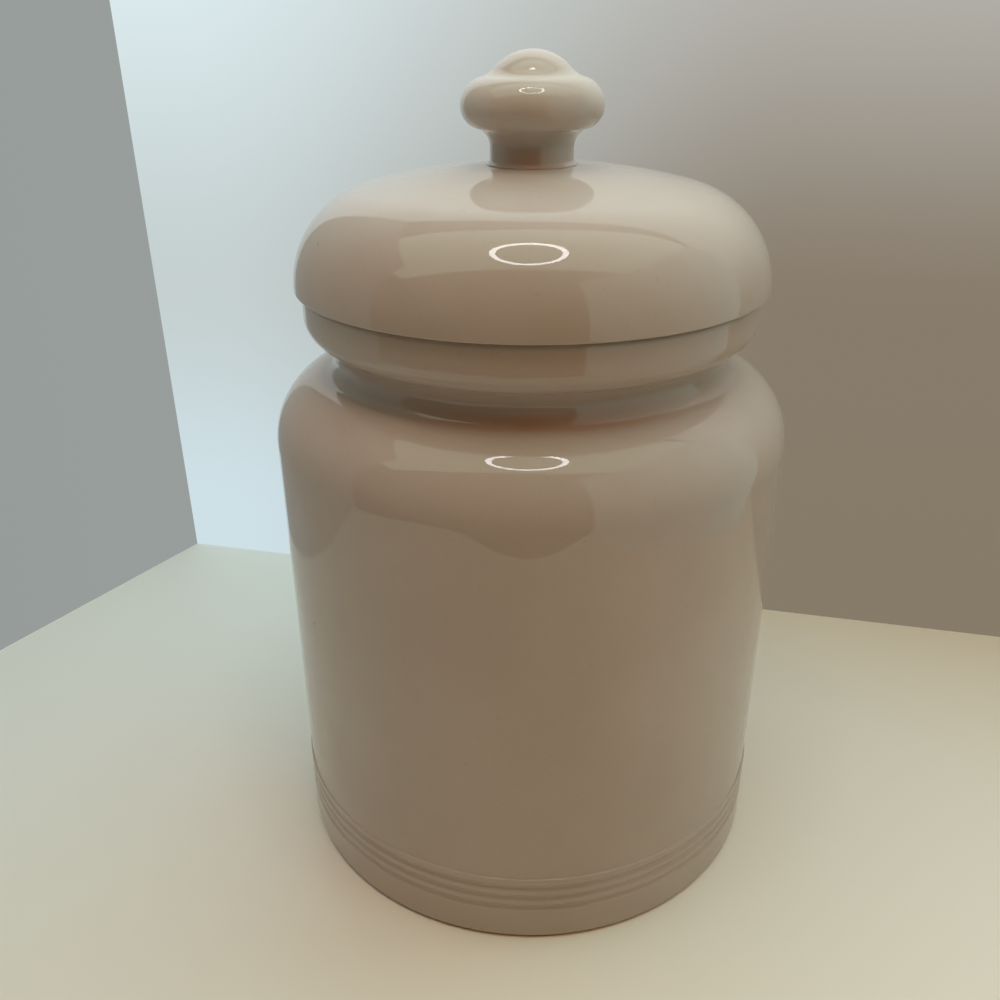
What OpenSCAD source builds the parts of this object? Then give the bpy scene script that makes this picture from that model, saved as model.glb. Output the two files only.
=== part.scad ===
// Biscuit jar: a hollow glazed jar with a waisted neck, a domed lid that drops into
// the mouth, and a mushroom knob luted to the lid. Every piece is turned about Z.
// The jar stands on Z = 0 with its axis on the origin.

/* [Jar body] */
// Diameter of the body at the foot
body_d = 132.5; // [120:0.5:160]
// How much smaller the diameter is at the shoulder, so that the jar leaves its mould
draft = 0.4; // [0:0.1:3]
// Height of the jar from the table to the top of its rim
jar_h = 155.6; // [120:1:220]
// Thickness of the fired wall
wall = 4.6; // [3.5:0.1:6]
// Angle that the shoulder turns through before it meets the neck
shoulder_turn = 77.5; // [65:0.5:88]
// Rounding inside, where the wall meets the floor
floor_fillet = 9; // [6:0.5:14]

/* [Neck and rim] */
// Outer diameter of the waist, the narrowest part of the neck
neck_d = 98.8; // [90:0.2:104]
// Height of the straight part of the waist
neck_straight = 0.6; // [0.2:0.1:3]
// Rounding where the shoulder turns up into the waist
neck_fillet = 3.9; // [2.5:0.1:6]
// Outer diameter of the collar under the lid
collar_d = 113.4; // [106:0.2:118]
// Height of the straight face of the collar
collar_h = 6; // [5:0.1:14]
// Hollow rounding from the waist out to the collar
flare_r = 5.2; // [4.5:0.1:9]
// Full rounding from the flare up into the collar
collar_r = 6; // [2:0.1:7]
// Rounding of the two edges of the rim
rim_edge_r = 1.3; // [0.8:0.1:1.8]

/* [Foot] */
// Width of the unglazed ring that the jar stands on
foot_w = 5.5; // [4:0.1:9]
// Rounding of the outer edge at the foot
foot_edge_r = 1.8; // [1:0.1:3]
// Depth of the hollow under the floor
foot_depth = 2.4; // [1.5:0.1:4]
// Thickness of the floor
floor_t = 5.4; // [4:0.1:8]

/* [Incised rings] */
// Number of rings cut round the foot
ring_count = 3; // [1:1:5]
// Height of the lowest ring
ring_z = 10.9; // [8:0.1:14]
// Distance from one ring to the next
ring_pitch = 3.35; // [3:0.05:5]
// Depth of each ring
ring_depth = 0.5; // [0.3:0.05:0.8]
// Radius of the tool that cuts the rings
ring_tool_r = 1.9; // [1:0.1:2.5]
// How far the banded foot stands out from the wall above it
band_step = 0.35; // [0.2:0.05:0.8]
// Height of wall left between the highest ring and the top of the band
band_margin = 2.9; // [2:0.1:5]

/* [Lid] */
// How far the lid reaches past the collar all round
overhang = 1.7; // [0.5:0.1:4]
// Height of the crown above the seat
lid_h = 27.5; // [22:0.1:34]
// How much the flat crown rises above the round of the side
crown_rise = 4.2; // [2:0.1:6]
// How far the widest part of the round lies below the seat
side_drop = 0; // [0:0.1:3]
// Rounding of the lower edge
lid_edge_r = 0.5; // [0.4:0.1:3]
// Gap between the seat and the rim, where the two unglazed faces stand off
seat_gap = 0.3; // [0.1:0.05:0.6]
// Free space between the flange and the narrowest part of the mouth
flange_gap = 1.5; // [0.8:0.1:3]
// Depth of the flange below the seat
flange_h = 13; // [9:0.5:20]
// Thickness of the flange
flange_t = 4.2; // [3:0.1:6]
// Rounding of the two lower edges of the flange
flange_edge_r = 1.4; // [0.8:0.1:1.4]
// Hollow rounding from the flange out to the seat
seat_fillet = 1.2; // [0.6:0.1:2]

/* [Knob] */
// Greatest diameter of the knob
knob_d = 33.7; // [28:0.1:42]
// Height of the knob above the crown
knob_h = 24.9; // [23:0.1:32]
// Height of the widest part above the crown
knob_wide_z = 12.9; // [11.5:0.1:15]
// Diameter of the stem
stem_d = 20; // [16:0.1:24]
// Hollow rounding from the stem out to the knob
stem_fillet = 4.1; // [3:0.1:5.5]
// Rounding of the underside at the widest part
knob_under_r = 5; // [4:0.1:6]
// Rounding of the top side at the widest part
knob_over_r = 6.4; // [5.5:0.1:7]
// Radius of the button on top
button_r = 12.2; // [11:0.1:13]
// Hollow rounding between the button and the knob
button_fillet = 5.9; // [5:0.1:8]
// Width of the bead of slip round the foot of the stem
bead_w = 0.9; // [0.5:0.1:1.5]

/* [Hidden] */
$fn = 160;
glaze = [0.80, 0.76, 0.69];
// Turn of one straight step on a rounded outline
arc_step = 7;
// Facets round the tool that cuts the rings
tool_facets = 48;
// The smallest rounding that is left on the inside of the collar
least_r = 1;

body_r = body_d / 2;
shoulder_wall_r = body_r - draft / 2;
neck_r = neck_d / 2;
rim_r = collar_d / 2;
mouth_r = neck_r - wall;
// The shoulder is as round as the room between the wall and the waist allows
shoulder_r = (shoulder_wall_r - neck_r) / (1 - cos(shoulder_turn)) - neck_fillet;

// Levels of the neck, worked down from the rim
collar_z = jar_h - collar_h;
flare_z = collar_z - arc_rise(flare_r, collar_r, neck_r, rim_r);
waist_z = flare_z - neck_straight;
shoulder_z = waist_z - (shoulder_r + neck_fillet) * sin(shoulder_turn);

// The band of rings at the foot
band_z = ring_z + (ring_count - 1) * ring_pitch + band_margin;
ring_r = body_r + ring_tool_r - ring_depth;

// The lid stands on the rim
seat_z = jar_h + seat_gap;
crown_z = seat_z + lid_h;
lid_r = rim_r + overhang;
side_r = lid_h + side_drop - crown_rise;
side_z = seat_z - side_drop;
side_x = lid_r - sqrt(pow(side_r, 2) - pow(lid_edge_r + side_drop, 2));
crown_drop = crown_z - side_z;
crown_r = (pow(side_x, 2) + pow(crown_drop, 2) - pow(side_r, 2)) / (2 * (crown_drop - side_r));
flange_r = mouth_r - flange_gap;
flange_z = seat_z - flange_h;

// The knob is luted to a flat landing on the crown
stem_r = stem_d / 2;
landing_r = stem_r + bead_w;
landing_z = crown_height(landing_r, 0);
wide_z = landing_z + knob_wide_z;
button_z = landing_z + knob_h - button_r;

// Height gained where a hollow arc turns a wall out and a full arc turns it up again
function arc_rise(hollow_r, full_r, inner_r, outer_r) =
    sqrt(pow(hollow_r + full_r, 2) - pow(hollow_r + full_r - (outer_r - inner_r), 2));

// Points along an arc about centre c, from angle a to angle b
function arc(c, r, a, b) =
    let (n = max(2, ceil(abs(b - a) / arc_step)))
    [for (i = [0:n]) c + r * [cos(a + (b - a) * i / n), sin(a + (b - a) * i / n)]];

// Angle of the line from point a to point b, from 0 to 360
function bearing(a, b) = (atan2(b[1] - a[1], b[0] - a[0]) + 360) % 360;

function reverse(points) = [for (i = [len(points) - 1:-1:0]) points[i]];

// Height of the lid's crown at radius r, on a skin that lies inset below the outside
function crown_height(r, inset) =
    crown_z - crown_r + sqrt(pow(crown_r - inset, 2) - pow(r, 2));

// Shoulder, waist and collar of the jar, on a skin that lies inset from the outside
function neck_outline(inset) =
    let (
        full_r = max(collar_r - inset, least_r),
        shoulder_c = [shoulder_wall_r - shoulder_r, shoulder_z],
        fillet_c = [neck_r + neck_fillet, waist_z],
        flare_c = [neck_r + flare_r, flare_z],
        full_c = [rim_r - inset - full_r,
                  flare_z + arc_rise(flare_r + inset, full_r, neck_r - inset, rim_r - inset)],
        flare_turn = bearing(flare_c, full_c)
    )
    concat(
        arc(shoulder_c, shoulder_r - inset, 0, shoulder_turn),
        arc(fillet_c, neck_fillet + inset, 180 + shoulder_turn, 180),
        arc(flare_c, flare_r + inset, 180, flare_turn),
        arc(full_c, full_r, flare_turn - 180, 0)
    );

// Outside of the jar, from the foot ring up to the rim
function jar_outside() =
    concat(
        arc([body_r - foot_edge_r, foot_edge_r], foot_edge_r, -90, 0),
        arc([body_r - band_step, band_z - band_step], band_step, 0, 90),
        neck_outline(0),
        arc([rim_r - rim_edge_r, jar_h - rim_edge_r], rim_edge_r, 0, 90)
    );

// Inside of the jar, from the floor up to the rim
function jar_inside() =
    let (
        floor_z = foot_depth + floor_t,
        inner_r = body_r - band_step - wall
    )
    concat(
        [[0, floor_z]],
        arc([inner_r - floor_fillet, floor_z + floor_fillet], floor_fillet, -90, 0),
        neck_outline(wall),
        arc([rim_r - wall + rim_edge_r, jar_h - rim_edge_r], rim_edge_r, 180, 90)
    );

// Hollow under the floor, inside the foot ring
function jar_underside() =
    let (ring_in = body_r - foot_edge_r - foot_w)
    [[0, foot_depth], [ring_in - foot_depth, foot_depth], [ring_in, 0]];

// Dome of the lid, on a skin that lies inset from the outside: the round of the side from
// angle start, then the crown in to radius end_r
function dome_outline(inset, start, end_r) =
    let (
        side_c = [side_x, side_z],
        crown_c = [0, crown_z - crown_r],
        meet = bearing(crown_c, side_c),
        end = acos(end_r / (crown_r - inset))
    )
    concat(arc(side_c, side_r - inset, start, meet), arc(crown_c, crown_r - inset, meet, end));

module jar() {
    color(glaze)
    difference() {
        rotate_extrude() polygon(concat(jar_underside(), jar_outside(), reverse(jar_inside())));
        for (i = [0:ring_count - 1])
            translate([0, 0, ring_z + i * ring_pitch])
            rotate_extrude() translate([ring_r, 0]) circle(r = ring_tool_r, $fn = tool_facets);
    }
}

module lid() {
    edge_c = [lid_r - lid_edge_r, seat_z + lid_edge_r];
    start = bearing([side_x, side_z], edge_c);
    under_z = seat_z + wall;
    under_start = asin((under_z - side_z) / (side_r - wall));
    flange_in = flange_r - flange_t;
    outside = concat(
        arc([flange_in + flange_edge_r, flange_z + flange_edge_r], flange_edge_r, 180, 270),
        arc([flange_r - flange_edge_r, flange_z + flange_edge_r], flange_edge_r, 270, 360),
        arc([flange_r + seat_fillet, seat_z - seat_fillet], seat_fillet, 180, 90),
        arc(edge_c, lid_edge_r, 270, 360 + start),
        dome_outline(0, start, landing_r),
        [[0, landing_z]]
    );
    inside = concat(
        [[flange_in, under_z]],
        dome_outline(wall, under_start, landing_r),
        [[0, crown_height(landing_r, wall)]]
    );
    color(glaze)
    rotate_extrude() polygon(concat(outside, reverse(inside)));
}

module knob() {
    under_c = [knob_d / 2 - knob_under_r, wide_z];
    over_c = [knob_d / 2 - knob_over_r, wide_z];
    button_c = [0, button_z];
    stem_c = [stem_r + stem_fillet,
              wide_z - arc_rise(stem_fillet, knob_under_r, stem_r, knob_d / 2)];
    under_turn = bearing(stem_c, under_c);
    // The hollow round the button touches both the button and the knob's upper side
    over_reach = knob_over_r + button_fillet;
    button_reach = button_r + button_fillet;
    span = norm(button_c - over_c);
    over_angle = acos((pow(over_reach, 2) + pow(span, 2) - pow(button_reach, 2)) / (2 * over_reach * span));
    over_turn = bearing(over_c, button_c) - over_angle;
    hollow_c = over_c + over_reach * [cos(over_turn), sin(over_turn)];
    button_turn = bearing(button_c, hollow_c);
    color(glaze)
    rotate_extrude() polygon(concat(
        [[0, landing_z], [landing_r, landing_z], [stem_r, landing_z + bead_w]],
        arc(stem_c, stem_fillet, 180, under_turn),
        arc(under_c, knob_under_r, under_turn - 180, 0),
        arc(over_c, knob_over_r, 0, over_turn),
        arc(hollow_c, button_fillet, over_turn + 180, button_turn + 180),
        arc(button_c, button_r, button_turn, 90)
    ));
}

jar();
lid();
knob();
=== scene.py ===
# %% [markdown]
# # A glazed biscuit jar
# A hollow stoneware jar with a waisted neck, a domed lid that drops into the mouth, and a
# mushroom knob fixed to the lid. All three are turned shapes: one outline carried round one
# axis. The frame that this script loads holds the same three pieces as engineering solids,
# with the joint that lifts the lid. Here each piece is built again with a finer surface,
# because a gloss glaze shows every facet of a coarse one.

# %% Load the frame and keep its box
import math
import bpy
from mathutils import Matrix, Vector


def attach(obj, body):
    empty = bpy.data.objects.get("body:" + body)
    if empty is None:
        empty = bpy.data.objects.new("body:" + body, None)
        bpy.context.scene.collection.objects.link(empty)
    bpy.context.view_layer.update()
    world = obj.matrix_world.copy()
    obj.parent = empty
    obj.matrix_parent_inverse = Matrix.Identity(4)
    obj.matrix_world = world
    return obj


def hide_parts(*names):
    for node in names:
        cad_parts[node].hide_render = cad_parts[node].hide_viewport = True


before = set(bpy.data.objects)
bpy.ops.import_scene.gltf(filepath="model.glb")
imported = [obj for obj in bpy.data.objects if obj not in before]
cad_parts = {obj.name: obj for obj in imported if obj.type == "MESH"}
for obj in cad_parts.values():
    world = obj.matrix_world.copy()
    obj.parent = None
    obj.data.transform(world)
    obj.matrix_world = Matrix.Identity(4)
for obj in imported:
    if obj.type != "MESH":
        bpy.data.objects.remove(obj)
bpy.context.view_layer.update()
MM = 0.001

# %% [markdown]
# ## Sizes
# The real jar was cast in a turned plaster mould, so its whole outline is arcs and straight
# runs between them. The sizes below are those of the engineering part, in millimetres.
# Keeping them as named values, and not as a list of points, lets each arc be cut as finely
# as the gloss needs.

# %% Sizes of the jar in millimetres
BODY_R = 66.25
SHOULDER_WALL_R = 66.05
JAR_H = 155.6
WALL = 4.6
SHOULDER_TURN = 77.5
FLOOR_FILLET = 9.0
NECK_R = 49.4
NECK_STRAIGHT = 0.6
NECK_FILLET = 3.9
RIM_R = 56.7
COLLAR_H = 6.0
FLARE_R = 5.2
COLLAR_R = 6.0
RIM_EDGE_R = 1.3
FOOT_W = 5.5
FOOT_EDGE_R = 1.8
FOOT_DEPTH = 2.4
FLOOR_T = 5.4
BAND_STEP = 0.35
BAND_Z = 20.5
BAND_FINE_FROM = 7.5
BAND_FINE_TO = 20.0
BAND_FINE_STEP = 0.25
SEAT_Z = 155.9


def arc_rise(hollow_r, full_r, inner_r, outer_r):
    """Height gained where a hollow arc turns a wall out and a full arc turns it up again."""
    reach = hollow_r + full_r
    return math.sqrt(reach ** 2 - (reach - (outer_r - inner_r)) ** 2)


SHOULDER_SHARE = 1 - math.cos(math.radians(SHOULDER_TURN))
SHOULDER_R = (SHOULDER_WALL_R - NECK_R) / SHOULDER_SHARE - NECK_FILLET
COLLAR_Z = JAR_H - COLLAR_H
FLARE_Z = COLLAR_Z - arc_rise(FLARE_R, COLLAR_R, NECK_R, RIM_R)
WAIST_Z = FLARE_Z - NECK_STRAIGHT
SHOULDER_Z = WAIST_Z - (SHOULDER_R + NECK_FILLET) * math.sin(math.radians(SHOULDER_TURN))
print("shoulder radius", round(SHOULDER_R, 2), "waist height", round(WAIST_Z, 2))

# %% Sizes of the lid and the knob in millimetres
LID_R = 58.4
LID_H = 27.5
CROWN_RISE = 4.2
SIDE_DROP = 0.0
LID_EDGE_R = 0.5
FLANGE_R = 43.3
FLANGE_H = 13.0
FLANGE_T = 4.2
FLANGE_EDGE_R = 1.4
SEAT_FILLET = 1.2
KNOB_R = 16.85
KNOB_H = 24.9
KNOB_WIDE = 12.9
STEM_R = 10.0
STEM_FILLET = 4.1
KNOB_UNDER_R = 5.0
KNOB_OVER_R = 6.4
BUTTON_R = 12.2
BUTTON_FILLET = 5.9
BEAD_W = 0.9

CROWN_Z = SEAT_Z + LID_H
SIDE_R = LID_H + SIDE_DROP - CROWN_RISE
SIDE_Z = SEAT_Z - SIDE_DROP
SIDE_X = LID_R - math.sqrt(SIDE_R ** 2 - (LID_EDGE_R + SIDE_DROP) ** 2)
CROWN_DROP = CROWN_Z - SIDE_Z
CROWN_R = (SIDE_X ** 2 + CROWN_DROP ** 2 - SIDE_R ** 2) / (2 * (CROWN_DROP - SIDE_R))
LANDING_R = STEM_R + BEAD_W


def crown_height(radius, inset=0.0):
    """Height of the lid's crown at a radius, on a skin that lies inset below the outside."""
    return CROWN_Z - CROWN_R + math.sqrt((CROWN_R - inset) ** 2 - radius ** 2)


LANDING_Z = crown_height(LANDING_R)
print("crown radius", round(CROWN_R, 1), "knob stands at", round(LANDING_Z, 2))

# %% [markdown]
# ## Drawing the outlines
# An outline here is a list of points (radius, height) from the axis, round the wall and back
# to the axis. It could be a Bezier curve, but arcs of known radius keep to the real shape and
# to the engineering part. Straight runs get extra points close to their ends: smooth shading
# averages the directions of neighbouring faces, and a long face beside a tight arc would
# otherwise carry the arc's tilt across the whole wall.

# %% Helpers for outlines
ARC_STEP = 3.0


def arc(centre, radius, start, end, step=ARC_STEP):
    """Points on an arc about centre, from the angle start to the angle end, in degrees."""
    count = max(3, math.ceil(abs(end - start) / step))
    turns = [math.radians(start + (end - start) * i / count) for i in range(count + 1)]
    return [(centre[0] + radius * math.cos(t), centre[1] + radius * math.sin(t)) for t in turns]


def bearing(a, b):
    """Angle in degrees of the line from point a to point b, from 0 to 360."""
    return math.degrees(math.atan2(b[1] - a[1], b[0] - a[0])) % 360


def with_support(points, reach=0.4, longest=6.0):
    """The outline with points added near the ends of long straight runs and along them."""
    filled = [points[0]]
    for a, b in zip(points, points[1:]):
        run = math.dist(a, b)
        if run < 1e-4:
            continue
        shares = []
        if run > 3 * reach:
            inner = max(1, math.ceil((run - 2 * reach) / longest))
            span = run - 2 * reach
            shares = [(reach + span * i / inner) / run for i in range(inner + 1)]
        filled += [(a[0] + (b[0] - a[0]) * s, a[1] + (b[1] - a[1]) * s) for s in shares]
        filled.append(b)
    return filled


print("a quarter turn takes", len(arc((0, 0), 1, 0, 90)), "points")

# %% [markdown]
# ## The jar's outline
# The neck is the form that makes this jar: the shoulder rolls in, turns up through a small
# hollow into a short waist, then flares out to the collar that carries the lid. The inside
# follows the outside at the thickness of the wall, as it does in a cast pot, because the
# plaster draws water evenly and the wall grows evenly. Points stand close together up the band
# at the foot, because the incised rings are cut into them later.

# %% Outline of the jar
def neck_outline(inset):
    """Shoulder, waist and collar, on a skin that lies inset from the outside."""
    full_r = max(COLLAR_R - inset, 1.0)
    shoulder_c = (SHOULDER_WALL_R - SHOULDER_R, SHOULDER_Z)
    fillet_c = (NECK_R + NECK_FILLET, WAIST_Z)
    flare_c = (NECK_R + FLARE_R, FLARE_Z)
    rise = arc_rise(FLARE_R + inset, full_r, NECK_R - inset, RIM_R - inset)
    full_c = (RIM_R - inset - full_r, FLARE_Z + rise)
    turn = bearing(flare_c, full_c)
    return (
        arc(shoulder_c, SHOULDER_R - inset, 0, SHOULDER_TURN, 1.5)
        + arc(fillet_c, NECK_FILLET + inset, 180 + SHOULDER_TURN, 180)
        + arc(flare_c, FLARE_R + inset, 180, turn)
        + arc(full_c, full_r, turn - 180, 0)
    )


def jar_outline():
    """The jar from the hollow under its floor, up the outside, and down the inside."""
    ring_in = BODY_R - FOOT_EDGE_R - FOOT_W
    floor_z = FOOT_DEPTH + FLOOR_T
    inner_r = BODY_R - BAND_STEP - WALL
    under = [(0, FOOT_DEPTH), (ring_in - FOOT_DEPTH, FOOT_DEPTH), (ring_in, 0)]
    foot = arc((BODY_R - FOOT_EDGE_R, FOOT_EDGE_R), FOOT_EDGE_R, -90, 0, 6)
    count = round((BAND_FINE_TO - BAND_FINE_FROM) / BAND_FINE_STEP)
    band = [(BODY_R, BAND_FINE_FROM + BAND_FINE_STEP * i) for i in range(count + 1)]
    step = arc((BODY_R - BAND_STEP, BAND_Z - BAND_STEP), BAND_STEP, 0, 90, 9)
    rim = arc((RIM_R - RIM_EDGE_R, JAR_H - RIM_EDGE_R), RIM_EDGE_R, 0, 90, 6)
    inner_rim = arc((RIM_R - WALL + RIM_EDGE_R, JAR_H - RIM_EDGE_R), RIM_EDGE_R, 90, 180, 6)
    inner_neck = neck_outline(WALL)[::-1][::2]
    corner = arc((inner_r - FLOOR_FILLET, floor_z + FLOOR_FILLET), FLOOR_FILLET, 0, -90)
    outside = under + foot + band + step + neck_outline(0) + rim
    return with_support(outside + inner_rim + inner_neck + corner + [(0, floor_z)])


print("jar outline", len(jar_outline()), "points")

# %% [markdown]
# ## The lid's and the knob's outlines
# The lid is a shallow dome on a round side, hollow inside, with a flange that drops into the
# mouth and keeps it from sliding off. The knob was made apart and joined with slip, so it is
# a piece of its own: a stem, a rolled edge like a mushroom's, a hollow ring and a button.

# %% Outlines of the lid and the knob
def dome(inset, start, end_r):
    """The round of the lid's side from the angle start, then the crown in to radius end_r."""
    side_c = (SIDE_X, SIDE_Z)
    crown_c = (0, CROWN_Z - CROWN_R)
    meet = bearing(crown_c, side_c)
    end = math.degrees(math.acos(end_r / (CROWN_R - inset)))
    side = arc(side_c, SIDE_R - inset, start, meet, 1.5)
    return side + arc(crown_c, CROWN_R - inset, meet, end, 0.25)


def lid_outline():
    """The lid from the middle of its underside, round the flange, and over the dome."""
    edge_c = (LID_R - LID_EDGE_R, SEAT_Z + LID_EDGE_R)
    start = bearing((SIDE_X, SIDE_Z), edge_c)
    under_z = SEAT_Z + WALL
    under_start = math.degrees(math.asin((under_z - SIDE_Z) / (SIDE_R - WALL)))
    flange_in = FLANGE_R - FLANGE_T
    flange_z = SEAT_Z - FLANGE_H + FLANGE_EDGE_R
    inside = dome(WALL, under_start, LANDING_R)[::-1] + [(flange_in, under_z)]
    flange = arc((flange_in + FLANGE_EDGE_R, flange_z), FLANGE_EDGE_R, 180, 270, 6)
    flange += arc((FLANGE_R - FLANGE_EDGE_R, flange_z), FLANGE_EDGE_R, 270, 360, 6)
    flange += arc((FLANGE_R + SEAT_FILLET, SEAT_Z - SEAT_FILLET), SEAT_FILLET, 180, 90, 6)
    edge = arc(edge_c, LID_EDGE_R, 270, 360 + start, 4)
    middle = [(0, crown_height(LANDING_R, WALL))]
    outside = dome(0, start, LANDING_R) + [(0, LANDING_Z)]
    return with_support(middle + inside + flange + edge + outside)


def knob_outline():
    """The knob from the middle of its base, up the stem, and over the button."""
    wide_z = LANDING_Z + KNOB_WIDE
    under_c = (KNOB_R - KNOB_UNDER_R, wide_z)
    over_c = (KNOB_R - KNOB_OVER_R, wide_z)
    button_c = (0, LANDING_Z + KNOB_H - BUTTON_R)
    stem_c = (STEM_R + STEM_FILLET, wide_z - arc_rise(STEM_FILLET, KNOB_UNDER_R, STEM_R, KNOB_R))
    under_turn = bearing(stem_c, under_c)
    over_reach = KNOB_OVER_R + BUTTON_FILLET
    button_reach = BUTTON_R + BUTTON_FILLET
    span = math.dist(button_c, over_c)
    share = (over_reach ** 2 + span ** 2 - button_reach ** 2) / (2 * over_reach * span)
    over_turn = bearing(over_c, button_c) - math.degrees(math.acos(share))
    lean = math.radians(over_turn)
    hollow_c = (over_c[0] + over_reach * math.cos(lean), over_c[1] + over_reach * math.sin(lean))
    button_turn = bearing(button_c, hollow_c)
    base = [(0, LANDING_Z), (LANDING_R, LANDING_Z), (STEM_R, LANDING_Z + BEAD_W)]
    top = arc(over_c, KNOB_OVER_R, 0, over_turn, 2)
    top += arc(hollow_c, BUTTON_FILLET, over_turn + 180, button_turn + 180, 2)
    top += arc(button_c, BUTTON_R, button_turn, 90, 2)
    side = arc(stem_c, STEM_FILLET, 180, under_turn)
    side += arc(under_c, KNOB_UNDER_R, under_turn - 180, 0)
    return with_support(base + side + top)


print("lid outline", len(lid_outline()), "points, knob outline", len(knob_outline()), "points")

# %% [markdown]
# ## Turning an outline
# Blender has a Screw modifier and a Spin tool for this. A small Geometry Nodes tree does the
# same with a rule that can be read and changed: a flat grid has one column for each point of
# the outline and one row for each step round the axis. Every grid point looks up its outline
# point and is swung about Z. The grid's own coordinates stay as the UV map, so u runs round
# the pot and v along the outline. Merging by distance then closes the seam and the two poles,
# with a reach in metres that is far below the step between two points of an outline.

# %% A helper that adds a node and joins its inputs
def add(tree, kind, inputs=None, **settings):
    """Adds a node, sets its properties, and joins or sets its inputs by name or number."""
    node = tree.nodes.new(kind)
    for name, value in settings.items():
        setattr(node, name, value)
    for key, value in (inputs or {}).items():
        if isinstance(value, bpy.types.NodeSocket):
            tree.links.new(value, node.inputs[key])
        else:
            node.inputs[key].default_value = value
    return node


def maths(tree, operation, *values):
    """A Math node on one or two values or sockets; gives its output socket."""
    node = add(tree, "ShaderNodeMath", dict(enumerate(values)), operation=operation)
    return node.outputs[0]


def group_sockets(tree, direction, *sockets):
    """Gives a node group its sockets, each as a name, a kind and perhaps a starting value."""
    for name, kind, *value in sockets:
        kind = "NodeSocket" + kind
        item = tree.interface.new_socket(name, in_out=direction, socket_type=kind)
        if value:
            item.default_value = value[0]


print("node helpers ready")

# %% The turning tree
WELD = 2e-6


def make_turning_tree():
    """A Geometry Nodes tree that turns an outline of points about the Z axis."""
    tree = bpy.data.node_groups.new("turned_outline", "GeometryNodeTree")
    group_sockets(
        tree,
        "INPUT",
        ("Geometry", "Geometry"),
        ("Steps Round", "Int"),
        ("Ring Count", "Int"),
        ("Lowest Ring", "Float"),
        ("Ring Pitch", "Float"),
        ("Ring Depth", "Float"),
        ("Ring Half Width", "Float"),
        ("Skin Radius", "Float"),
        ("Finish", "Material"),
    )
    group_sockets(tree, "OUTPUT", ("Geometry", "Geometry"))
    start = tree.nodes.new("NodeGroupInput").outputs
    size = add(tree, "GeometryNodeAttributeDomainSize", {"Geometry": start["Geometry"]})
    count = size.outputs["Point Count"]
    rows = maths(tree, "ADD", start["Steps Round"], 1.0)
    grid = {"Size X": 1.0, "Size Y": 1.0, "Vertices X": rows, "Vertices Y": count}
    sheet = add(tree, "GeometryNodeMeshGrid", grid)
    here = tree.nodes.new("GeometryNodeInputPosition").outputs[0]
    place = add(tree, "ShaderNodeSeparateXYZ", {0: here})
    along = maths(tree, "ADD", place.outputs["Y"], 0.5)
    along = maths(tree, "MULTIPLY", along, maths(tree, "SUBTRACT", count, 1.0))
    column = maths(tree, "ROUND", along)
    turn = maths(tree, "MULTIPLY", maths(tree, "ADD", place.outputs["X"], 0.5), 2 * math.pi)
    lookup = add(
        tree,
        "GeometryNodeSampleIndex",
        {"Geometry": start["Geometry"], "Index": column, "Value": here},
        data_type="FLOAT_VECTOR",
        domain="POINT",
    )
    flat = add(tree, "ShaderNodeSeparateXYZ", {0: lookup.outputs["Value"]})
    cut = ring_cut(tree, start, flat.outputs["X"], flat.outputs["Z"])
    radius = maths(tree, "SUBTRACT", flat.outputs["X"], cut)
    point = add(tree, "ShaderNodeCombineXYZ", {"X": radius, "Z": flat.outputs["Z"]})
    swing = {"Vector": point.outputs[0], "Angle": turn}
    swung = add(tree, "ShaderNodeVectorRotate", swing, rotation_type="Z_AXIS")
    named = add(
        tree,
        "GeometryNodeStoreNamedAttribute",
        {"Geometry": sheet.outputs["Mesh"], "Name": "UVMap", "Value": sheet.outputs["UV Map"]},
        data_type="FLOAT2",
        domain="CORNER",
    )
    shift = {"Geometry": named.outputs[0], "Position": swung.outputs[0]}
    moved = add(tree, "GeometryNodeSetPosition", shift)
    weld = {"Geometry": moved.outputs[0], "Distance": WELD}
    closed = add(tree, "GeometryNodeMergeByDistance", weld)
    smooth = add(tree, "GeometryNodeSetShadeSmooth", {0: closed.outputs[0]})
    real = add(tree, "GeometryNodeRealizeInstances", {0: smooth.outputs[0]})
    paint = {"Geometry": real.outputs[0], "Material": start["Finish"]}
    painted = add(tree, "GeometryNodeSetMaterial", paint)
    add(tree, "NodeGroupOutput", {0: painted.outputs[0]})
    return tree


def ring_cut(tree, start, radius, height):
    """How deep the nearest incised ring cuts the skin at a height, as a socket in metres."""
    above = maths(tree, "SUBTRACT", height, start["Lowest Ring"])
    steps = maths(tree, "DIVIDE", above, start["Ring Pitch"])
    top = maths(tree, "SUBTRACT", start["Ring Count"], 1.0)
    nearest = maths(tree, "MINIMUM", maths(tree, "MAXIMUM", maths(tree, "ROUND", steps), 0.0), top)
    away = maths(tree, "ABSOLUTE", maths(tree, "SUBTRACT", steps, nearest))
    away = maths(tree, "MULTIPLY", away, start["Ring Pitch"])
    share = maths(tree, "MINIMUM", maths(tree, "DIVIDE", away, start["Ring Half Width"]), 1.0)
    bowl = maths(tree, "ADD", maths(tree, "COSINE", maths(tree, "MULTIPLY", share, math.pi)), 1.0)
    depth = maths(tree, "MULTIPLY", maths(tree, "MULTIPLY", bowl, 0.5), start["Ring Depth"])
    on_skin = maths(tree, "GREATER_THAN", radius, start["Skin Radius"])
    any_ring = maths(tree, "GREATER_THAN", start["Ring Count"], 0.5)
    return maths(tree, "MULTIPLY", depth, maths(tree, "MULTIPLY", on_skin, any_ring))


turning = make_turning_tree()
print("turning tree has", len(turning.nodes), "nodes")

# %% [markdown]
# ## From an outline to a piece
# The outline goes in as a bare chain of points, the modifier turns it, and new_from_object
# takes the finished surface off as a plain mesh. The modifier is then no longer needed. The
# volume of the mesh is worked out as well, because a negative one shows a surface that was
# turned inside out.

# %% Turn an outline into a piece
CM3 = 1e6


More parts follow.
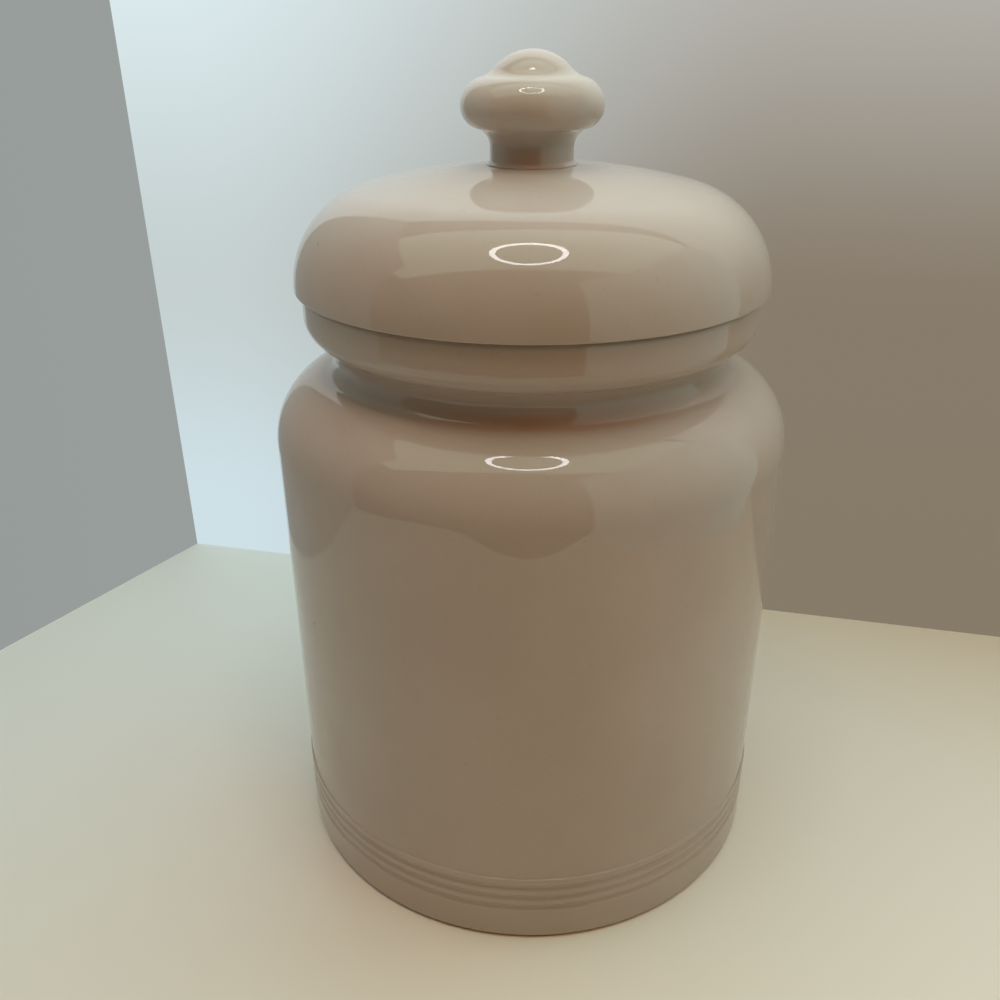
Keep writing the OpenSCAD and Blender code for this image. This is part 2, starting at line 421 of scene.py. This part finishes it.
def turned_piece(name, outline, steps, finish, **sizes):
    """Makes a mesh piece from an outline in millimetres, with the turning tree."""
    chain = bpy.data.meshes.new(name + "_outline")
    chain.from_pydata([(r * MM, 0, z * MM) for r, z in outline], [], [])
    holder = bpy.data.objects.new(name + "_outline", chain)
    bpy.context.scene.collection.objects.link(holder)
    modifier = holder.modifiers.new("turn", "NODES")
    modifier.node_group = turning
    sockets = [item for item in turning.interface.items_tree if item.in_out == "INPUT"]
    named = {item.name: item.identifier for item in sockets}
    modifier[named["Steps Round"]] = steps
    modifier[named["Finish"]] = finish
    for label, value in sizes.items():
        modifier[named[label.replace("_", " ").title()]] = value
    solid = holder.evaluated_get(bpy.context.evaluated_depsgraph_get())
    mesh = bpy.data.meshes.new_from_object(solid)
    mesh.name = name
    bpy.data.objects.remove(holder)
    piece = bpy.data.objects.new(name, mesh)
    bpy.context.scene.collection.objects.link(piece)
    return piece


def volume(mesh):
    """Volume of a closed mesh in cubic centimetres; it is negative if turned inside out."""
    mesh.calc_loop_triangles()
    total = 0.0
    for face in mesh.loop_triangles:
        a, b, c = (mesh.vertices[i].co for i in face.vertices)
        total += a.dot(b.cross(c)) / 6
    return total * CM3


print("a cubic metre holds", CM3, "cubic centimetres")

# %% [markdown]
# ## The glaze
# A clear gloss glaze over an off-white body is two things at once: a pale, slightly uneven
# tone that seems to lie under the surface, and a hard, smooth skin that mirrors the room.
# Three pieces share it, so the tone is a node group with named inputs, and each material sets
# its own values. The tone drifts over a few centimetres where the glaze lies thicker, carries
# a fine speckle from the clay, and has the odd dark pinhole where a bubble broke. The skin is
# not quite flat either: a low, wide swell from brushing and dipping bends the reflections.

# %% Shader helpers
def noise(tree, vector, scale, detail=2.0, rough=0.5):
    """A noise texture of a scale in waves per metre; gives its value socket."""
    inputs = {"Vector": vector, "Scale": scale, "Detail": detail, "Roughness": rough}
    return add(tree, "ShaderNodeTexNoise", inputs).outputs["Fac"]


def fade(tree, value, low, high, start=0.0, end=1.0):
    """Maps a value smoothly from the range low to high onto start to end."""
    inputs = {"Value": value, "From Min": low, "From Max": high, "To Min": start, "To Max": end}
    node = add(tree, "ShaderNodeMapRange", inputs, interpolation_type="SMOOTHSTEP")
    return node.outputs["Result"]


def blend_colours(tree, share, first, second):
    """Mixes two colours by a share from 0 to 1; gives the colour socket."""
    node = tree.nodes.new("ShaderNodeMix")
    node.data_type = "RGBA"
    for key, value in (("Factor_Float", share), ("A_Color", first), ("B_Color", second)):
        target = next(s for s in node.inputs if s.identifier == key)
        if isinstance(value, bpy.types.NodeSocket):
            tree.links.new(value, target)
        else:
            target.default_value = value
    return next(s for s in node.outputs if s.identifier == "Result_Color")


def axis_distance(tree, parts):
    """Distance from the Z axis, from the outputs of a Separate XYZ node."""
    flat = add(tree, "ShaderNodeCombineXYZ", {"X": parts["X"], "Y": parts["Y"]}).outputs[0]
    return add(tree, "ShaderNodeVectorMath", {0: flat}, operation="LENGTH").outputs["Value"]


print("shader helpers ready")

# %% The glaze group
def make_glaze_group():
    """Tone, roughness and swell of a clear glaze over an off-white body."""
    tree = bpy.data.node_groups.new("clear_glaze", "ShaderNodeTree")
    group_sockets(
        tree,
        "INPUT",
        ("Vector", "Vector"),
        ("Tone", "Color", (0.5, 0.45, 0.37, 1)),
        ("Thick Tone", "Color", (0.45, 0.4, 0.32, 1)),
        ("Speck", "Color", (0.2, 0.16, 0.12, 1)),
        ("Swell", "Float", 1.0),
    )
    outputs = (("Color", "Color"), ("Roughness", "Float"), ("Height", "Float"))
    group_sockets(tree, "OUTPUT", *outputs)
    start = tree.nodes.new("NodeGroupInput").outputs
    drift = fade(tree, noise(tree, start["Vector"], 22.0, 3.0), 0.35, 0.68, 0.0, 0.7)
    cloud = fade(tree, noise(tree, start["Vector"], 140.0, 4.0, 0.6), 0.3, 0.75, 0.0, 0.175)
    tone = blend_colours(tree, drift, start["Tone"], start["Thick Tone"])
    tone = blend_colours(tree, cloud, tone, start["Thick Tone"])
    grain = fade(tree, noise(tree, start["Vector"], 1500.0, 1.0), 0.69, 0.78, 0.0, 0.16)
    tone = blend_colours(tree, grain, tone, start["Speck"])
    cells = add(tree, "ShaderNodeTexVoronoi", {"Vector": start["Vector"], "Scale": 75.0})
    dot = fade(tree, cells.outputs["Distance"], 0.022, 0.035, 1.0, 0.0)
    pick = add(tree, "ShaderNodeSeparateColor", {0: cells.outputs["Color"]}).outputs["Red"]
    rare = maths(tree, "GREATER_THAN", pick, 0.93)
    pinhole = maths(tree, "MULTIPLY", maths(tree, "MULTIPLY", dot, rare), 0.75)
    tone = blend_colours(tree, pinhole, tone, start["Speck"])
    dulled = fade(tree, noise(tree, start["Vector"], 60.0, 3.0), 0.45, 0.8, 0.018, 0.04)
    rough = maths(tree, "ADD", dulled, maths(tree, "MULTIPLY", pinhole, 0.3))
    wide = noise(tree, start["Vector"], 26.0, 1.0)
    fine = maths(tree, "MULTIPLY", noise(tree, start["Vector"], 120.0, 1.0), 0.12)
    swell = maths(tree, "MULTIPLY", maths(tree, "ADD", wide, fine), start["Swell"])
    pit = maths(tree, "MULTIPLY", pinhole, -0.1)
    height = maths(tree, "ADD", swell, pit)
    add(tree, "NodeGroupOutput", {"Color": tone, "Roughness": rough, "Height": height})
    return tree


glaze_group = make_glaze_group()
print("glaze group has", len(glaze_group.nodes), "nodes")

# %% [markdown]
# ## Bare clay
# Glaze would weld a pot to the kiln shelf and a lid to its jar, so those faces are wiped clean
# before the firing: the ring that the jar stands on, the top of its rim, and the lid's seat.
# There the body shows as matt, dry clay. A mask by height and radius finds the faces, with an
# uneven edge, as a sponge leaves. The mask is a group too, as every wiped face uses it.

# %% The wiped-face group
def make_wiped_group():
    """1 where a flat turned face was wiped clean, 0 elsewhere; sizes are in metres."""
    tree = bpy.data.node_groups.new("wiped_face", "ShaderNodeTree")
    group_sockets(
        tree,
        "INPUT",
        ("Vector", "Vector"),
        ("Height", "Float", 0.0),
        ("Half Thickness", "Float", 0.0005),
        ("Inner Radius", "Float", 0.0),
        ("Outer Radius", "Float", 0.1),
        ("Wander", "Float", 0.0004),
    )
    group_sockets(tree, "OUTPUT", ("Mask", "Float"))
    start = tree.nodes.new("NodeGroupInput").outputs
    parts = add(tree, "ShaderNodeSeparateXYZ", {0: start["Vector"]}).outputs
    radius = axis_distance(tree, parts)
    sway = maths(tree, "SUBTRACT", noise(tree, start["Vector"], 160.0, 3.0), 0.5)
    sway = maths(tree, "MULTIPLY", sway, start["Wander"])
    above = maths(tree, "ABSOLUTE", maths(tree, "SUBTRACT", parts["Z"], start["Height"]))
    near = maths(tree, "LESS_THAN", maths(tree, "ADD", above, sway), start["Half Thickness"])
    outside = maths(tree, "GREATER_THAN", maths(tree, "ADD", radius, sway), start["Inner Radius"])
    inside = maths(tree, "LESS_THAN", maths(tree, "ADD", radius, sway), start["Outer Radius"])
    mask = maths(tree, "MULTIPLY", near, maths(tree, "MULTIPLY", outside, inside))
    add(tree, "NodeGroupOutput", {"Mask": mask})
    return tree


wiped_group = make_wiped_group()
print("wiped-face group has", len(wiped_group.nodes), "nodes")

# %% [markdown]
# ## Three glazed materials
# Each piece gets a material of its own, with its own pattern of drift, its own swell and its
# own wiped faces. The knob's tone is paler and more neutral than the others: painted light,
# standing in for the stronger light from above on the highest piece. Its swell is weaker,
# because a small round form shows every bend. The mirror skin is the shader's plain specular
# layer: the roughness stays low and a little uneven, and the index of refraction is that of
# glass.

# %% Build a glazed material
TONE = (0.52, 0.443, 0.383, 1)
THICK_TONE = (0.47, 0.393, 0.33, 1)
# Paler, more neutral tone for the knob: painted light from above.
TOP_LIT_TONE = (0.58, 0.52, 0.46, 1)
SPECK = (0.16, 0.12, 0.09, 1)
CLAY = (0.56, 0.49, 0.39, 1)
DARK_CLAY = (0.48, 0.41, 0.31, 1)
GLASS_IOR = 1.52
RELIEF = 0.12 * MM


def glazed(name, wiped, main_tone=TONE, swell=1.0, shift=(0, 0, 0)):
    """A clear-glazed material; wiped lists bare faces as (height, half, inner, outer) in mm."""
    material = bpy.data.materials.new(name)
    material.use_nodes = True
    tree = material.node_tree
    shader = tree.nodes["Principled BSDF"]
    shader.inputs["IOR"].default_value = GLASS_IOR
    place = tree.nodes.new("ShaderNodeTexCoord").outputs["Object"]
    moved = add(tree, "ShaderNodeMapping", {"Vector": place, "Location": shift}).outputs[0]
    coat = {"Vector": moved, "Tone": main_tone, "Thick Tone": THICK_TONE, "Speck": SPECK}
    coat["Swell"] = swell
    tone = add(tree, "ShaderNodeGroup", coat, node_tree=glaze_group).outputs
    bare = 0.0
    for face in wiped:
        named = ("Height", "Half Thickness", "Inner Radius", "Outer Radius")
        sizes = {name: size * MM for name, size in zip(named, face)}
        sizes["Vector"] = place
        mask = add(tree, "ShaderNodeGroup", sizes, node_tree=wiped_group).outputs["Mask"]
        bare = maths(tree, "MAXIMUM", bare, mask)
    clay = blend_colours(tree, noise(tree, place, 900.0, 3.0), CLAY, DARK_CLAY)
    colour = blend_colours(tree, bare, tone["Color"], clay)
    tree.links.new(colour, shader.inputs["Base Color"])
    rough = maths(tree, "ADD", tone["Roughness"], maths(tree, "MULTIPLY", bare, 0.7))
    tree.links.new(rough, shader.inputs["Roughness"])
    relief = {"Height": tone["Height"], "Strength": 1.0, "Distance": RELIEF}
    bump = add(tree, "ShaderNodeBump", relief)
    tree.links.new(bump.outputs[0], shader.inputs["Normal"])
    return material


JAR_WIPED = [(0.0, 0.35, 50, BODY_R), (JAR_H, 0.25, RIM_R - WALL + 0.9, RIM_R - 0.9)]
LID_WIPED = [(SEAT_Z, 0.3, FLANGE_R + 0.3, LID_R - 1.4)]
jar_glaze = glazed("jar_glaze", JAR_WIPED)
lid_glaze = glazed("lid_glaze", LID_WIPED, shift=(0.3, 0.1, 0.2))
# The knob takes the paler tone of painted light from above.
knob_glaze = glazed("knob_glaze", [], TOP_LIT_TONE, swell=0.3, shift=(0.7, 0.4, 0.1))
print("glazed materials ready")

# %% [markdown]
# ## Building the pieces
# The three incised rings round the foot were pressed in by a tool with a round nose. The
# turning tree cuts them by rule: how many, how high the lowest stands, how far apart, how
# deep and how wide. Soft, even bowls are right here, because the glaze has filled their edges.
# The skin radius keeps the tool off the inside of the wall. The steps round the axis are many,
# because the rim of a pot is where the eye finds corners.

# %% The jar, the lid and the knob
STEPS_ROUND = 232
KNOB_STEPS = 160
INCISED_RINGS = {
    "ring_count": 3,
    "lowest_ring": 10.9 * MM,
    "ring_pitch": 3.35 * MM,
    "ring_depth": 0.5 * MM,
    "ring_half_width": 1.35 * MM,
    "skin_radius": 64.5 * MM,
}
jar = turned_piece("jar_turned", jar_outline(), STEPS_ROUND, jar_glaze, **INCISED_RINGS)
lid = turned_piece("lid_turned", lid_outline(), STEPS_ROUND, lid_glaze)
knob = turned_piece("knob_turned", knob_outline(), KNOB_STEPS, knob_glaze)
for piece in (jar, lid, knob):
    faces = sum(len(p.vertices) - 2 for p in piece.data.polygons)
    print(piece.name, "triangles", faces, "volume", round(volume(piece.data), 2), "cm3")

# %% [markdown]
# ## Joining the pieces to the frame
# Each piece stands for one engineering solid and moves with that solid's body. The knob rides
# on the lid's body, because the two were joined with slip before the firing.

# %% Ride on the bodies
RIDERS = (
    (jar, "jar", "jar", "jar_glaze"),
    (lid, "lid", "lid", "lid_glaze"),
    (knob, "lid", "knob", "knob_glaze"),
)
for piece, body, node, slot_name in RIDERS:
    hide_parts(node)
    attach(piece, body)
print("riders", [piece.name for piece, *_ in RIDERS])

# %% [markdown]
# ## The camera
# The camera stands close, a little above the knob, and looks down by about 26 degrees. From
# so near the jar narrows towards its foot, which a long lens would hide.

# %% Aim the camera
CAMERA_PLACE = (0, -0.23989, 0.21033)
PITCH_YAW_ROLL = (25.847, -1.906, 0.290)
LENS = 34.423
SENSOR = 36


def aim_camera():
    """The camera at its place in metres, turned by pitch, yaw and roll in degrees."""
    pitch, yaw, roll = (math.radians(turn) for turn in PITCH_YAW_ROLL)
    level = math.cos(pitch)
    forward = Vector((math.sin(yaw) * level, math.cos(yaw) * level, -math.sin(pitch)))
    right = Vector((math.cos(yaw), -math.sin(yaw), 0))
    down = forward.cross(right)
    across = math.cos(roll) * right + math.sin(roll) * down
    up = math.sin(roll) * right - math.cos(roll) * down
    camera = bpy.data.objects.new("camera", bpy.data.cameras.new("camera"))
    camera.data.lens = LENS
    camera.data.sensor_width = SENSOR
    camera.data.clip_start = 0.01
    turn = Matrix((across, up, -forward)).transposed()
    camera.matrix_world = Matrix.Translation(CAMERA_PLACE) @ turn.to_4x4()
    bpy.context.scene.collection.objects.link(camera)
    bpy.context.scene.camera = camera
    return camera


camera = aim_camera()
print("camera at", tuple(round(v, 3) for v in camera.location))

# %% [markdown]
# ## Floor and backdrop
# A pale table top and a folded white board behind it. The table is a real diffuse surface, as
# it carries the jar's shadow and throws light back up the wall. Its base colour carries painted
# light: cooler far left, as under a window, and warmer in front, as under a warm room light. Far
# from the jar it fades, for the camera alone, into the plain pale tone of the room, so a view
# from any side has a pale ground. The board glows with painted light: bright and cool near the
# fold and at the top, where window light falls on it, and dim and warm far along, in shade. The
# side leaf glows a plain dim tone, as the same white board in shade. It could be a white surface
# lit by lamps, but then each change of a lamp would change it too. In the glaze its top shows a
# brighter painted sheen, as a window beside it would make it. From behind both leaves are clear,
# so they never stand between the camera and the jar.

# %% Flat card helper
def card(name, corners, material):
    """A staged card of flat faces, from four corners in metres for each face."""
    mesh = bpy.data.meshes.new(name)
    mesh.from_pydata(corners, [], [tuple(range(i, i + 4)) for i in range(0, len(corners), 4)])
    mesh.materials.append(material)
    piece = bpy.data.objects.new(name, mesh)
    bpy.context.scene.collection.objects.link(piece)
    return piece


print("card helper ready")

# %% The table top
FLOOR_COOL_LIGHT = (0.80, 0.86, 0.82, 1)
FLOOR_WARM_LIGHT = (0.87, 0.82, 0.72, 1)
ROOM_TONE = (0.64, 0.61, 0.54, 1)
FADE_FROM = 0.29
FADE_TO = 0.66


def table_material():
    """Matt pale table: painted cool light far left, warm in front; fades far off for the camera.
    """
    material = bpy.data.materials.new("table")
    material.use_nodes = True
    tree = material.node_tree
    shader = tree.nodes["Principled BSDF"]
    shader.inputs["Roughness"].default_value = 0.55
    shader.inputs["Specular IOR Level"].default_value = 0.2
    place = tree.nodes.new("ShaderNodeTexCoord").outputs["Object"]
    parts = add(tree, "ShaderNodeSeparateXYZ", {0: place}).outputs
    # Painted light: the base colour runs from cool far left, as under window light, to warm in
    # front, as under the warm room light.
    slope = maths(tree, "SUBTRACT", maths(tree, "MULTIPLY", parts["X"], 0.8), parts["Y"])
    warm_light_share = fade(tree, slope, -0.22, 0.14)
    colour = blend_colours(tree, warm_light_share, FLOOR_COOL_LIGHT, FLOOR_WARM_LIGHT)
    tree.links.new(colour, shader.inputs["Base Color"])
    away = add(tree, "ShaderNodeVectorMath", {0: place}, operation="LENGTH").outputs["Value"]
    seen = tree.nodes.new("ShaderNodeLightPath").outputs["Is Camera Ray"]
    share = maths(tree, "MULTIPLY", seen, fade(tree, away, FADE_FROM, FADE_TO))
    glow = add(tree, "ShaderNodeEmission", {"Color": ROOM_TONE}).outputs[0]
    mixed = add(tree, "ShaderNodeMixShader", {0: share, 1: shader.outputs[0], 2: glow}).outputs[0]
    tree.links.new(mixed, tree.nodes["Material Output"].inputs["Surface"])
    return material


TABLE_CORNERS = [(-3, -3, 0), (3, -3, 0), (3, 3, 0), (-3, 3, 0)]
table = card("table", TABLE_CORNERS, table_material())
print(table.name, "fades from", FADE_FROM, "to", FADE_TO, "m")

# %% The folded board
FOLD = (-0.153, 0.145)
BOARD_H = 0.42
BACK_TURN = -11.52
BACK_L = 0.9
SIDE_TURN = -119.15
SIDE_L = 0.29


def along_board(angle, length):
    """A point on the table at a distance from the fold, at an angle in degrees."""
    turn = math.radians(angle)
    return (FOLD[0] + length * math.cos(turn), FOLD[1] + length * math.sin(turn))


def board_material(name, foot, middle, top, painted_sheen, reach):
    """Card glowing with painted light: tones at foot, middle, top, and a sheen, near to far."""
    material = bpy.data.materials.new(name)
    material.use_nodes = True
    tree = material.node_tree
    tree.nodes.clear()
    place = tree.nodes.new("ShaderNodeTexCoord").outputs["Object"]
    step = {0: place, 1: (*FOLD, 0)}
    near = add(tree, "ShaderNodeVectorMath", step, operation="SUBTRACT").outputs[0]
    parts = add(tree, "ShaderNodeSeparateXYZ", {0: near}).outputs
    share = fade(tree, axis_distance(tree, parts), 0.02, reach)
    tones = [blend_colours(tree, share, *pair) for pair in (foot, middle, top, painted_sheen)]
    tone = blend_colours(tree, fade(tree, parts["Z"], 0.02, 0.12), tones[0], tones[1])
    tone = blend_colours(tree, fade(tree, parts["Z"], 0.12, 0.26), tone, tones[2])
    # Painted reflection: glossy rays see a brighter sheen towards the top.
    seen = tree.nodes.new("ShaderNodeLightPath").outputs["Is Glossy Ray"]
    sheen_share = maths(tree, "MULTIPLY", seen, fade(tree, parts["Z"], 0.18, 0.30))
    tone = blend_colours(tree, sheen_share, tone, tones[3])
    glow = add(tree, "ShaderNodeEmission", {"Color": tone}).outputs[0]
    clear = tree.nodes.new("ShaderNodeBsdfTransparent").outputs[0]
    behind = tree.nodes.new("ShaderNodeNewGeometry").outputs["Backfacing"]
    mixed = add(tree, "ShaderNodeMixShader", {0: behind, 1: glow, 2: clear}).outputs[0]
    add(tree, "ShaderNodeOutputMaterial", {0: mixed})
    return material


def stand_board(name, angle, length, flip, material):
    """One leaf of the board, standing on the table from the fold outwards."""
    end = along_board(angle, length)
    corners = [(*FOLD, 0), (*end, 0), (*end, BOARD_H), (*FOLD, BOARD_H)]
    leaf = card(name, corners[::-1] if flip else corners, material)
    leaf.visible_shadow = False
    leaf.visible_transmission = False
    return leaf


# Painted light on the back leaf: bright, cool tones near the fold and up top, where window light
# falls, and dim, warm tones far along, in shade. The sheen is a painted reflection.
BACK_FOOT = ((0.62, 0.75, 0.80, 1), (0.24, 0.20, 0.14, 1))
BACK_MIDDLE = ((0.56, 0.63, 0.63, 1), (0.245, 0.20, 0.148, 1))
BACK_TOP = ((0.73, 0.85, 0.88, 1), (0.485, 0.475, 0.44, 1))
BACK_PAINTED_SHEEN = ((0.95, 1.0, 1.0, 1), (0.9, 0.92, 0.85, 1))
# Painted shade: the side leaf is the same white board, in a dim tone.
SIDE_SHADE_TONE = ((0.315, 0.34, 0.33, 1), (0.29, 0.30, 0.29, 1))
back_board = board_material("back_board", BACK_FOOT, BACK_MIDDLE, BACK_TOP, BACK_PAINTED_SHEEN, 0.25)
side_board = board_material("side_board", SIDE_SHADE_TONE, SIDE_SHADE_TONE, SIDE_SHADE_TONE, SIDE_SHADE_TONE, 0.30)
back_leaf = stand_board("back_leaf", BACK_TURN, BACK_L, False, back_board)
side_leaf = stand_board("side_leaf", SIDE_TURN, SIDE_L, True, side_board)
print("leaves", back_leaf.name, side_leaf.name, "stand", BOARD_H, "m high")

# %% [markdown]
# ## Light
# A gloss glaze shows whatever stands round it, so the light has two jobs, done apart. Five
# area lamps set the level on the table and the walls: a wide one overhead, a small one over
# the left, a warm one in front, a weak one at the right and a cool one at the back. Only
# the one overhead may show in the glaze. What the glaze mirrors beside it is cards that
# stand on the table and light nothing: a dark one in front, as an unlit room is, and a pale
# one at the right. A ring of light overhead draws the crisp ring on the dome and the shoulder.
# A picture of a room could do all of this at once, but each card can be moved by itself.

# %% Area lamps
def soft_lamp(name, place, aim, size, radiance):
    """A rectangular lamp of a size in metres, whose surface shines at a plain radiance."""
    lamp = bpy.data.lights.new(name, "AREA")
    lamp.shape = "RECTANGLE"
    lamp.size = size[0]
    lamp.size_y = size[1]
    lamp.energy = math.pi * size[0] * size[1]
    lamp.color = radiance
    holder = bpy.data.objects.new(name, lamp)
    holder.location = place
    holder.rotation_mode = "QUATERNION"
    holder.rotation_quaternion = (Vector(aim) - Vector(place)).to_track_quat("-Z", "Y")
    bpy.context.scene.collection.objects.link(holder)
    return holder


BACK = (0.2875, 0.0531, 0.37)
BACK_AIM = (0.0878, -0.9268, 0.37)
# Name, place, aim, size in metres, radiance, and whether the glaze mirrors the lamp.
LAMPS = (
    ("window_lamp", (-0.27, 0.03, 0.66), (-0.27, 0.03, 0), (0.26, 0.22), (1.9, 0.8, 0.65), False),
    ("ceiling_lamp", (0, -0.10, 0.665), (0, -0.10, 0), (1.5, 0.46), (0.85, 1.13, 0.90), True),
    ("front_lamp", (0.2, -0.42, 0.66), (0.2, -0.42, 0), (0.4, 0.27), (2.3, 0.6, 0.05), False),
    ("right_lamp", (0.64, -0.2, 0.36), (0, -0.2, 0.36), (0.7, 0.6), (0.08, 0.14, 0.08), False),
    ("back_lamp", BACK, BACK_AIM, (0.88, 0.26), (1.6, 2.2, 2.55), False),
)
for name, place, aim, size, radiance, mirrored in LAMPS:
    lamp = soft_lamp(name, place, aim, size, radiance)
    lamp.visible_glossy = mirrored
    lamp.visible_camera = False
print("area lamps", len(LAMPS))

# %% Cards for the glaze, and the ring
RING_STEPS = 96


def shining(name, colour, strength):
    """A plain emission material."""
    material = bpy.data.materials.new(name)
    material.use_nodes = True
    tree = material.node_tree
    tree.nodes.clear()
    glow = add(tree, "ShaderNodeEmission", {"Color": colour, "Strength": strength}).outputs[0]
    add(tree, "ShaderNodeOutputMaterial", {0: glow})
    return material


def mirror_card(name, path, height, colour):
    """An upright card along a path on the table, which only shows in the glaze."""
    corners = []
    for a, b in zip(path, path[1:]):
        corners += [(*a, 0), (*b, 0), (*b, height), (*a, height)]
    piece = card(name, corners, shining(name, colour, 1.0))
    piece.visible_camera = False
    piece.visible_diffuse = False
    piece.visible_shadow = False
    piece.visible_transmission = False
    return piece


def ring_lamp(radius, width, place, strength):
    """A flat ring of light, facing down and up, that the camera does not see."""
    reaches = (radius - width / 2, radius + width / 2)
    corners = []
    for step in range(RING_STEPS):
        turn = math.tau * step / RING_STEPS
        corners += [(reach * math.cos(turn), reach * math.sin(turn), 0) for reach in reaches]
    count = len(corners)
    faces = [(i, i + 1, (i + 3) % count, (i + 2) % count) for i in range(0, count, 2)]
    mesh = bpy.data.meshes.new("ring_lamp")
    mesh.from_pydata(corners, [], faces)
    mesh.materials.append(shining("ring_light", (1, 1, 1, 1), strength))
    piece = bpy.data.objects.new("ring_lamp", mesh)
    piece.location = place
    piece.visible_camera = False
    bpy.context.scene.collection.objects.link(piece)
    return piece


SIDE_END = along_board(SIDE_TURN, SIDE_L)
FRONT = (0.115, -0.265)
DARK_PATH = [SIDE_END, (-0.22, -0.26), FRONT]
DARK_H = 0.30
DARK_TONE = (0.07, 0.035, 0.02, 1)
PALE_PATH = [FRONT, (0.235, -0.136), (0.265, 0.014), (0.285, 0.05)]
PALE_H = 0.40
PALE_TONE = (0.5, 0.65, 0.6, 1)
RING_R = 0.106
RING_W = 0.018
RING_PLACE = (-0.006, -0.153, 0.64)
RING_GLOW = 12
dark_card = mirror_card("dark_card", DARK_PATH, DARK_H, DARK_TONE)
right_card = mirror_card("right_card", PALE_PATH, PALE_H, PALE_TONE)
ring = ring_lamp(RING_R, RING_W, RING_PLACE, RING_GLOW)
print("cards", dark_card.name, right_card.name, "ring", ring.name)

# %% [markdown]
# ## The room
# The world is a dim, warm room to the lamps and the glaze, and a plain pale ground to the
# camera. Were it pale to both, it would fill every shadow and dull every reflection.

# %% World
DIM_ROOM = (0.07, 0.035, 0.015, 1)
world = bpy.data.worlds.new("room")
bpy.context.scene.world = world
world.use_nodes = True
room = world.node_tree
looked_at = room.nodes.new("ShaderNodeLightPath").outputs["Is Camera Ray"]
room_colour = blend_colours(room, looked_at, DIM_ROOM, ROOM_TONE)
room.links.new(room_colour, room.nodes["Background"].inputs["Color"])
bpy.context.scene.view_settings.view_transform = "Standard"
print("room ready")
